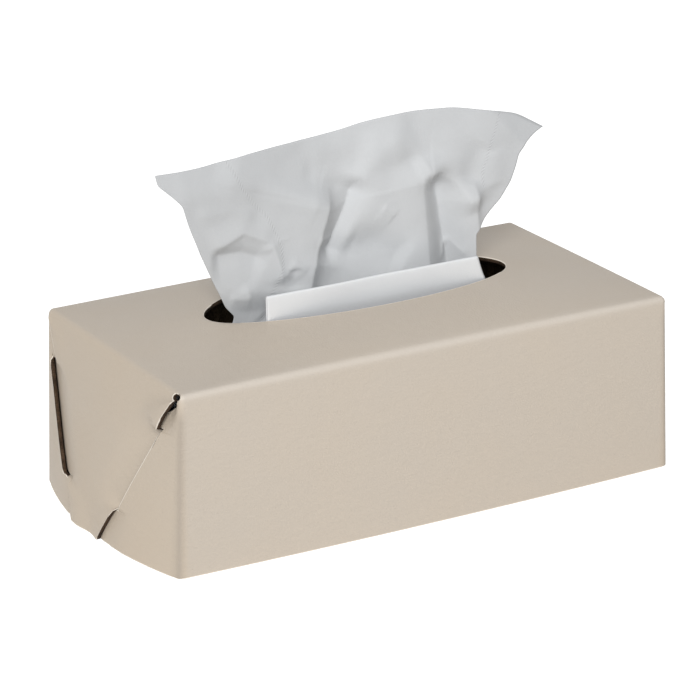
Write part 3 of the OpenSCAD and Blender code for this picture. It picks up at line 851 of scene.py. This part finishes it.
def table(pairs, at, soften=0.03):
    """Reads a table as a smooth curve."""
    fine = np.linspace(pairs[0][0], pairs[-1][0], 801)
    value = np.interp(fine, *np.array(pairs, float).T)
    width = max(1, int(soften * 800 / (pairs[-1][0] - pairs[0][0])))
    kernel = np.hanning(2 * width + 3)[1:-1]
    padded = np.concatenate([2 * value[0] - value[width:0:-1], value, 2 * value[-1] - value[-2:-width - 2:-1]])
    return np.interp(at, fine, np.convolve(padded, kernel / kernel.sum(), "valid"))


def tissue_edge(s):
    return TISSUE_TOP - table(TOP_DROP, s, 0.08)


def tissue_half(s, z):
    up = np.clip((z - NECK_Z) / (tissue_edge(s) - NECK_Z), 0.0, 1.0)
    share = np.where(s > 0, table(RIGHT_SPREAD, up), table(LEFT_SPREAD, up))
    fall = np.clip((z - LYING_Z) / (NECK_Z - LYING_Z), 0.0, 1.0)
    fall = fall * fall * (3.0 - 2.0 * fall)
    return np.where(z < NECK_Z, FOOT_HALF + (NECK_HALF - FOOT_HALF) * fall, NECK_HALF + (TOP_HALF - NECK_HALF) * share)


# %% Creases of the drawn tissue
# Each stroke: its points (x, z), how far it comes forward, its width to the left and to the right of the way it runs,
# and the power of its fall: 1 is a sharp crest and 2 a soft one. All are in millimetres.
STROKES = (
    # the edge of the front part, and the pocket behind it
    (((-15, 144), (-18, 135), (-20, 128), (-23, 120), (-27, 105), (-31, 84)), 7.5, 7.5, 28.0, 1.25),
    (((1, 145), (-3, 137), (-7, 129), (-12, 119), (-17, 104)), -6.5, 6.0, 8.0, 1.25),
    (((-24, 120), (-18, 118), (-12, 117)), 1.0, 2.0, 6.0, 1.2),
    # the ridge that runs to the left from the pocket
    (((-74, 158), (-51, 150), (-36, 144), (-22, 139), (-14, 134)), 2.4, 12.0, 9.0, 1.7),
    # the wide soft fold that rises from the pocket
    (((-14, 108), (-8, 120), (-3, 132), (3, 143), (12, 152), (30, 166)), 3.2, 9.0, 14.0, 2.0),
    # the arch on the right, the sharp edge of its left side and the valley inside it
    (((30, 138), (36, 141), (42, 140), (49, 135), (56, 128), (61, 116)), 3.0, 12.0, 4.5, 1.4),
    (((30, 150), (32, 138), (33, 124), (34, 110), (36, 80)), 6.0, 11.0, 24.0, 1.3),
    (((42, 145), (44, 130), (46, 116), (49, 100), (53, 80)), -7.5, 6.0, 9.0, 1.5),
    (((60, 134), (61, 126), (62, 115), (63, 106), (63, 84)), 3.8, 3.5, 14.0, 1.3),
    (((11, 129), (18, 123)), 0.5, 1.6, 5.0, 1.2),
    (((-8, 116), (-1, 113), (10, 110), (24, 101)), -2.2, 8.0, 9.0, 2.0),
    # dents of the fingers on the left
    (((-76, 121), (-68, 124), (-60, 128), (-52, 124), (-45, 121)), 1.8, 7.0, 2.2, 1.2),
    (((-76, 118), (-60, 118), (-48, 113)), -2.4, 3.0, 9.0, 1.6),
    (((-52, 117), (-46, 120), (-44, 112), (-42, 101)), 2.0, 3.0, 4.0, 1.3),
    (((-42, 105), (-36, 111), (-30, 105)), 1.0, 2.0, 5.0, 1.2),
    (((-36, 109), (-36, 98)), -1.2, 4.0, 4.0, 2.0),
    # gathers at the neck
    (((-67, 98), (-60, 97), (-56, 97)), 0.7, 2.0, 5.0, 1.2),
    (((-60, 104), (-56, 95), (-49, 84)), 1.4, 3.0, 5.0, 1.4),
    (((46, 95), (47, 103), (50, 105), (58, 96)), 1.0, 2.0, 3.0, 1.2),
    # long shallow waves of the free part
    (((-95, 150), (-70, 148), (-50, 143)), 0.7, 7.0, 6.0, 2.0),
    (((-84, 138), (-66, 139), (-52, 133)), 0.8, 6.0, 4.0, 1.6),
    (((-30, 160), (-8, 162), (16, 157)), 0.7, 6.0, 8.0, 2.0),
    (((-30, 152), (-8, 150), (4, 148)), -0.9, 6.0, 6.0, 2.0),
    (((68, 150), (61, 141), (57, 131)), -1.2, 7.0, 7.0, 2.0),
    (((72, 146), (73, 126)), 0.7, 6.0, 6.0, 2.0),
)
CORNER_LINE = ((70.0, 164.5), (88.0, 146.0))
CORNER_SLOPE = 0.35
PLEAT_DEPTH, PLEAT_STEP, PLEAT_TOP = 6.5, 13.0, 87.0


def along_line(points, x, z):
    """For each place: how far it is from the line, on which side, and how far along the line it is."""
    best = np.full(x.shape, 1e9)
    side, run, start = np.zeros(x.shape), np.zeros(x.shape), 0.0
    for (ax, az), (bx, bz) in zip(points[:-1], points[1:]):
        dx, dz = bx - ax, bz - az
        long = math.hypot(dx, dz)
        t = np.clip(((x - ax) * dx + (z - az) * dz) / long ** 2, 0.0, 1.0)
        gap = np.hypot(x - ax - t * dx, z - az - t * dz)
        near = gap < best
        best = np.where(near, gap, best)
        side = np.where(near, np.sign(dx * (z - az) - dz * (x - ax)), side)
        run = np.where(near, start + t * long, run)
        start += long
    return best, side, run / start


def stroke(x, z, points, forward, left, right, power):
    gap, side, run = along_line(points, x, z)
    width = np.where(side > 0, left, right)
    ends = np.clip(np.minimum(run, 1.0 - run) / 0.2, 0.0, 1.0)
    return forward * ends * ends * (3.0 - 2.0 * ends) * np.exp(-(gap / width) ** power)


def tissue_forward(x, z):
    out = sum(stroke(x, z, *one) for one in STROKES)
    (ax, az), (bx, bz) = CORNER_LINE
    long = math.hypot(bx - ax, bz - az)
    beyond = ((bz - az) * (x - ax) - (bx - ax) * (z - az)) / long
    out = out - CORNER_SLOPE * np.clip(-beyond, 0.0, 30.0)
    # Small random crumple, the same on each run
    rng = np.random.default_rng(7)
    for size, depth in ((52.0, 0.4), (27.0, 0.16), (14.0, 0.05)):
        for _ in range(6):
            angle, phase = rng.uniform(0, math.pi), rng.uniform(0, 2 * math.pi)
            out = out + depth * 0.4 * np.sin(2 * math.pi * (x * math.cos(angle) + z * math.sin(angle)) / size + phase)
    # Below the opening's edge the paper is gathered in deep pleats, which take up its width and spread out above it.
    # They are a guess: the photograph does not show them, but from above they can be seen in the opening
    gathered = np.clip((PLEAT_TOP - z) / 12.0, 0.0, 1.0) ** 2 * np.clip((x + 55.0) / 8.0, 0.0, 1.0)
    return out + PLEAT_DEPTH * gathered * np.sin(2 * math.pi * x / PLEAT_STEP + 0.7 * np.sin(x / 19.0))


# %% The net of the drawn tissue
TISSUE_COLS, STAND_ROWS, TURN_ROWS, LYING_ROWS = 260, 130, 12, 22
LYING_BACK = STACK_D / 2 - TURN_R


def tissue_points():
    s = np.linspace(-1.0, 1.0, TISSUE_COLS + 1)[:, None]
    up = 1.0 - np.linspace(0.0, 1.0, STAND_ROWS + 1)[None, :]
    z_stand = TURN_TOP + (tissue_edge(s) - TURN_TOP) * up
    x_stand = s * tissue_half(s, z_stand)
    fade = np.clip((z_stand - TURN_TOP) / (NECK_Z - 6 - TURN_TOP), 0.0, 1.0)
    fade = fade * fade * (3.0 - 2.0 * fade)
    y_stand = -tissue_forward(x_stand, z_stand) * fade
    angle = np.linspace(0.0, math.pi / 2, TURN_ROWS + 1)[None, 1:]
    z_turn = TURN_TOP - TURN_R * np.sin(angle) + 0 * s
    y_turn = TURN_R * (1.0 - np.cos(angle)) + 0 * s
    back = np.linspace(TURN_R, LYING_BACK, LYING_ROWS + 1)[None, 1:]
    z_lie = LYING_Z + 0 * back + 0 * s
    y_lie = back + 0 * s
    x_low = s * tissue_half(s, np.concatenate([z_turn, z_lie], 1))
    x = np.concatenate([x_stand, x_low], 1)
    y = np.concatenate([y_stand, y_turn, y_lie], 1)
    z = np.concatenate([z_stand, z_turn, z_lie], 1)
    return np.stack([x, y, z], -1)


def net_mesh(name, points, uv_name=None, uv=None):
    """A mesh from a grid of points in millimetres, with an optional UV map given point by point."""
    n, m = points.shape[:2]
    index = np.arange(n * m).reshape(n, m)
    quads = np.stack([index[:-1, :-1], index[:-1, 1:], index[1:, 1:], index[1:, :-1]], -1).reshape(-1, 4)
    mesh = bpy.data.meshes.new(name)
    mesh.from_pydata((points.reshape(-1, 3) * MM).tolist(), [], quads.tolist())
    if uv is not None:
        layer = mesh.uv_layers.new(name=uv_name)
        layer.data.foreach_set("uv", uv.reshape(-1, 2)[quads.reshape(-1)].astype(np.float32).reshape(-1))
    mesh.polygons.foreach_set("use_smooth", [True] * len(mesh.polygons))
    mesh.update()
    return add_object(name, mesh)


CRIMP_LEFT = ((-67, 162), (-60, 148), (-54, 140), (-48, 134), (-42, 120), (-42, 111), (-44, 104), (-48, 94), (-50, 84))
CRIMP_RIGHT = ((76, 164), (72, 153), (69, 143), (66, 136), (66, 128), (63, 121))


def crimp_uv(points):
    """How far along the nearer crimp a point is, and how far from it, in metres."""
    x, z = points[..., 0], points[..., 2]
    pair = []
    for line in (CRIMP_LEFT, CRIMP_RIGHT):
        gap, side, run = along_line(line, x, z)
        long = sum(math.dist(a, b) for a, b in zip(line[:-1], line[1:]))
        pair.append((gap * np.where(side < 0, -1, 1), run * long))
    nearer = np.abs(pair[0][0]) < np.abs(pair[1][0])
    gap = np.where(nearer, pair[0][0], pair[1][0])
    run = np.where(nearer, pair[0][1], pair[1][1])
    return np.stack([run, gap], -1) * MM


points = tissue_points()
tissue = net_mesh("tissue_drawn_up", points, "Crimps", crimp_uv(points))
PLY_T = 0.35


def give_thickness(piece, thickness):
    solid = piece.modifiers.new("plies", "SOLIDIFY")
    solid.thickness = thickness * MM
    solid.offset = 0.0
    with bpy.context.temp_override(object=piece, active_object=piece, selected_objects=[piece]):
        bpy.ops.object.modifier_apply(modifier=solid.name)


give_thickness(tissue, PLY_T)
tissue.data.materials.append(TISSUE_PAPER)
print("drawn tissue:", len(tissue.data.polygons), "faces")

# %% [markdown]
# ## The next tissue
#
# The fold of the next tissue leans on the front of the opening. It is pressed flat by the factory, so it is smooth and
# stiff: one sheet folded double over a small radius, square at its left-hand end and slanted and turned back at its
# right-hand end.

# %% The net of the next tissue
FOLD_ROUND = 0.6
NEXT_FOOT_Y = -10.0
NEXT_RISE, NEXT_SLOPE = 11.4, 0.08
NEXT_LEFT, NEXT_RIGHT = -57.5, 56.5
RIM_HALF = 57.0
RIM_Y = OPENING_W / 2 * math.sqrt(1.0 - (2 * RIM_HALF / OPENING_L) ** 2)
RIM_Z = HIGH + dome(RIM_HALF, RIM_Y)
NEXT_TOP = RIM_Z + NEXT_RISE


def next_front(z):
    """It leans forward up to the opening's edge and stands almost upright above it."""
    at_rim = REST_GAP + 0.2 - RIM_Y
    if z > RIM_Z:
        return at_rim - NEXT_SLOPE * (z - RIM_Z)
    return NEXT_FOOT_Y + (at_rim - NEXT_FOOT_Y) * (z - LYING_Z) / (RIM_Z - LYING_Z)


def next_profile():
    """The path of the double fold, from its back foot over the top to its front foot."""
    top = NEXT_TOP - FOLD_ROUND
    middle = next_front(top) + FOLD_ROUND
    back = [(next_front(z) + 2 * FOLD_ROUND, z) for z in np.linspace(LYING_Z + 0.3, top, 24)]
    bend = [(middle + FOLD_ROUND * math.cos(a), top + FOLD_ROUND * math.sin(a))
            for a in np.linspace(0, math.pi, 9)[1:-1]]
    front = [(next_front(z), z) for z in np.linspace(top, LYING_Z + 0.3, 40)]
    return back + bend + front


def next_points():
    t = np.linspace(0.0, 1.0, 121)[:, None]
    y, z = np.array(next_profile()).T[:, None, :]
    rise = np.clip((z - RIM_Z) / NEXT_RISE, 0.0, 1.0)
    left = NEXT_LEFT + 0.3 - 0.6 * rise
    right = NEXT_RIGHT + 0.3 - 4.6 * rise ** 0.8
    x = left + (right - left) * t
    wave = 0.35 * np.sin(x / 17.0 + 0.6) + 0.2 * np.sin(x / 7.3 + 1.7)
    y = y + wave * rise
    turned = np.clip((x - (right - 1.3)) / 1.3, 0.0, 1.0)
    y = y + 0.9 * turned ** 2
    return np.stack([x + 0 * y, y + 0 * x, z + 0 * x], -1)


strip = net_mesh("next_tissue_folded", next_points())
give_thickness(strip, PLY_T)
strip.data.materials.append(STRIP_PAPER)
print("next tissue:", len(strip.data.polygons), "faces")

# %% [markdown]
# ## The stack of tissues
#
# Interfolded tissues make a block whose long sides show one rounded fold above another. That repeats by a rule, so
# Geometry Nodes make it: one flat pack of folded leaves is a rounded section drawn out along X, and copies of it are
# piled up, each moved a little by a seeded random value. Realize Instances turns the copies into one mesh.

# %% Geometry Nodes for the stack
# How much of its step in the pile a leaf fills, and how round its long edges are, as a share of the same step
LEAF_FULL, LEAF_ROUND = 0.97, 0.46


def stack_tree(material):
    tree = bpy.data.node_groups.new("pile_of_leaves", "GeometryNodeTree")
    socket(tree, "Leaf Count", "NodeSocketInt", value=24)
    for name in ("Leaf Width", "Leaf Depth", "Pile Height", "Wander"):
        socket(tree, name, "NodeSocketFloat", value=0.1)
    socket(tree, "Seed", "NodeSocketInt", value=3)
    socket(tree, "Geometry", "NodeSocketGeometry", "OUTPUT")
    put_in = node(tree, "NodeGroupInput", (0, 0))
    put_out = node(tree, "NodeGroupOutput", (12, 0))
    step = maths(tree, (1, 2), "DIVIDE", put_in.outputs["Pile Height"], put_in.outputs["Leaf Count"])
    section = node(tree, "GeometryNodeCurvePrimitiveQuadrilateral", (3, 2))
    put(tree, put_in.outputs["Leaf Depth"], section.inputs["Width"])
    put(tree, maths(tree, (2, 3), "MULTIPLY", step, LEAF_FULL), section.inputs["Height"])
    fillet = node(tree, "GeometryNodeFilletCurve", (4, 2), mode="POLY")
    fillet.inputs["Count"].default_value = 5
    put(tree, section.outputs[0], fillet.inputs["Curve"])
    put(tree, maths(tree, (3, 3), "MULTIPLY", step, LEAF_ROUND), fillet.inputs["Radius"])
    spine = node(tree, "GeometryNodeCurvePrimitiveLine", (5, 1))
    for row, share, end in ((0, -0.5, "Start"), (1, 0.5, "End")):
        made = node(tree, "ShaderNodeCombineXYZ", (4, row))
        put(tree, maths(tree, (3, row), "MULTIPLY", put_in.outputs["Leaf Width"], share), made.inputs[0])
        put(tree, made.outputs[0], spine.inputs[end])
    leaf = node(tree, "GeometryNodeCurveToMesh", (6, 1))
    leaf.inputs["Fill Caps"].default_value = True
    put(tree, spine.outputs[0], leaf.inputs["Curve"])
    put(tree, fillet.outputs[0], leaf.inputs["Profile Curve"])
    lift = node(tree, "ShaderNodeCombineXYZ", (5, -1))
    put(tree, step, lift.inputs[2])
    first = node(tree, "ShaderNodeVectorMath", (6, -2), operation="SCALE")
    first.inputs["Scale"].default_value = 0.5
    put(tree, lift.outputs[0], first.inputs[0])
    pile = node(tree, "GeometryNodeMeshLine", (7, -1), mode="OFFSET")
    put(tree, put_in.outputs["Leaf Count"], pile.inputs["Count"])
    put(tree, first.outputs[0], pile.inputs["Start Location"])
    put(tree, lift.outputs[0], pile.inputs["Offset"])
    wander = node(tree, "FunctionNodeRandomValue", (7, -3), data_type="FLOAT_VECTOR")
    reach = node(tree, "ShaderNodeCombineXYZ", (5, -3))
    back = node(tree, "ShaderNodeVectorMath", (6, -4), operation="SCALE")
    back.inputs["Scale"].default_value = -1.0
    for i in (0, 1):
        put(tree, put_in.outputs["Wander"], reach.inputs[i])
    put(tree, reach.outputs[0], back.inputs[0])
    put(tree, back.outputs[0], wander.inputs[0])
    put(tree, reach.outputs[0], wander.inputs[1])
    put(tree, put_in.outputs["Seed"], wander.inputs["Seed"])
    moved = node(tree, "GeometryNodeSetPosition", (8, -1))
    put(tree, pile.outputs[0], moved.inputs["Geometry"])
    put(tree, wander.outputs[0], moved.inputs["Offset"])
    copies = node(tree, "GeometryNodeInstanceOnPoints", (9, 0))
    put(tree, moved.outputs[0], copies.inputs["Points"])
    put(tree, leaf.outputs[0], copies.inputs["Instance"])
    solid = node(tree, "GeometryNodeRealizeInstances", (10, 0))
    dressed = node(tree, "GeometryNodeSetMaterial", (11, 0))
    dressed.inputs["Material"].default_value = material
    put(tree, copies.outputs[0], solid.inputs[0])
    put(tree, solid.outputs[0], dressed.inputs[0])
    put(tree, dressed.outputs[0], put_out.inputs[0])
    return tree


def baked(name, tree, **inputs):
    """Runs a Geometry Nodes tree on an empty mesh and keeps the result as a plain mesh."""
    maker = add_object(name + "_maker", bpy.data.meshes.new(name + "_maker"))
    modifier = maker.modifiers.new("rule", "NODES")
    modifier.node_group = tree
    sockets = {item.name: item.identifier for item in tree.interface.items_tree if item.in_out == "INPUT"}
    for label, value in inputs.items():
        modifier[sockets[label.replace("_", " ")]] = value
    result = bpy.data.meshes.new_from_object(maker.evaluated_get(bpy.context.evaluated_depsgraph_get()))
    maker.modifiers.clear()
    bpy.data.objects.remove(maker)
    result.name = name
    return add_object(name, result)


stack = baked("pile_of_tissues", stack_tree(STRIP_PAPER), Leaf_Count=28, Leaf_Width=(TISSUE_W - 1.0) * MM,
              Leaf_Depth=(STACK_D - 1.0) * MM, Pile_Height=STACK_H * MM, Wander=0.45 * MM, Seed=3)
print("stack:", len(stack.data.polygons), "faces")

# %% [markdown]
# ## Which piece stands for which CAD node
#
# Each detailed piece replaces the CAD node whose space it fills, which is hidden, and rides on the holder's one body.

# %% Tie the pieces to the frame
for piece, cad_node, slot in ((cover, "leather_cover", "leather"), (tissue, "drawn_tissue", "tissue"),
                              (strip, "next_tissue", "tissue"), (stack, "tissue_stack", "tissue")):
    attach(piece, "root")
    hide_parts(cad_node)

# %% [markdown]
# ## Floor, backdrop and light
#
# The photograph has a plain white ground. The floor is a pale plane that the camera sees a little brighter than it is,
# so its lit part is white and it still takes the holder's shadow. One large soft lamp at the front left lights the end
# and the long side alike, and the even light of the white room fills the rest.

# %% Floor
floor_mesh = bpy.data.meshes.new("floor")
FLOOR_HALF = 6.0
FLOOR_TONE, FLOOR_GLOW = (0.80, 0.80, 0.80, 1.0), 0.75
WHITE = (1.0, 1.0, 1.0, 1.0)
floor_mesh.from_pydata([(-FLOOR_HALF, -FLOOR_HALF, 0), (FLOOR_HALF, -FLOOR_HALF, 0), (FLOOR_HALF, FLOOR_HALF, 0),
                        (-FLOOR_HALF, FLOOR_HALF, 0)], [], [(0, 1, 2, 3)])
floor = add_object("floor", floor_mesh)


def seen_by_camera(tree, place):
    """1 for what the camera sees by itself, in a gloss or through glass, and 0 for light."""
    path = node(tree, "ShaderNodeLightPath", place)
    col, row = place
    seen = maths(tree, (col + 1, row), "MAXIMUM", path.outputs["Is Camera Ray"], path.outputs["Is Glossy Ray"])
    return maths(tree, (col + 2, row), "MAXIMUM", seen, path.outputs["Is Transmission Ray"])


def floor_material():
    material = bpy.data.materials.new("pale_floor")
    material.use_nodes = True
    tree = material.node_tree
    tree.nodes.clear()
    matt = node(tree, "ShaderNodeBsdfDiffuse", (3, 1))
    matt.inputs["Color"].default_value = FLOOR_TONE
    glow = node(tree, "ShaderNodeEmission", (3, -1))
    glow.inputs["Color"].default_value = WHITE
    put(tree, maths(tree, (3, -2), "MULTIPLY", seen_by_camera(tree, (0, -2)), FLOOR_GLOW), glow.inputs["Strength"])
    both = node(tree, "ShaderNodeAddShader", (4, 0))
    put(tree, matt.outputs[0], both.inputs[0])
    put(tree, glow.outputs[0], both.inputs[1])
    out = node(tree, "ShaderNodeOutputMaterial", (5, 0))
    put(tree, both.outputs[0], out.inputs[0])
    return material


floor_mesh.materials.append(floor_material())

# %% World and lamp
AMBIENT = 0.40
world = bpy.data.worlds.new("studio")
scene.world = world
world.use_nodes = True
tree = world.node_tree
tree.nodes.clear()
sky = node(tree, "ShaderNodeBackground", (4, 0))
sky.inputs["Color"].default_value = WHITE
strength = maths(tree, (3, 0), "MULTIPLY_ADD", seen_by_camera(tree, (0, 0)), 1.0 - AMBIENT, AMBIENT)
put(tree, strength, sky.inputs["Strength"])
put(tree, sky.outputs[0], node(tree, "ShaderNodeOutputWorld", (5, 0)).inputs[0])


LAMP_PLACE, LAMP_AIM = (-1.62, -2.40, 1.70), (0.0, 0.0, 0.07)
LAMP_SIZE, LAMP_POWER = 1.4, 72.0


def soft_lamp(name, place, aim, size, power):
    data = bpy.data.lights.new(name, "AREA")
    data.shape = "DISK"
    data.size = size
    data.energy = power
    lamp = add_object(name, data)
    lamp.location = place
    lamp.rotation_euler = (Vector(aim) - Vector(place)).to_track_quat("-Z", "Y").to_euler()


soft_lamp("front_left_lamp", LAMP_PLACE, LAMP_AIM, LAMP_SIZE, LAMP_POWER)
scene.view_settings.view_transform = "Standard"
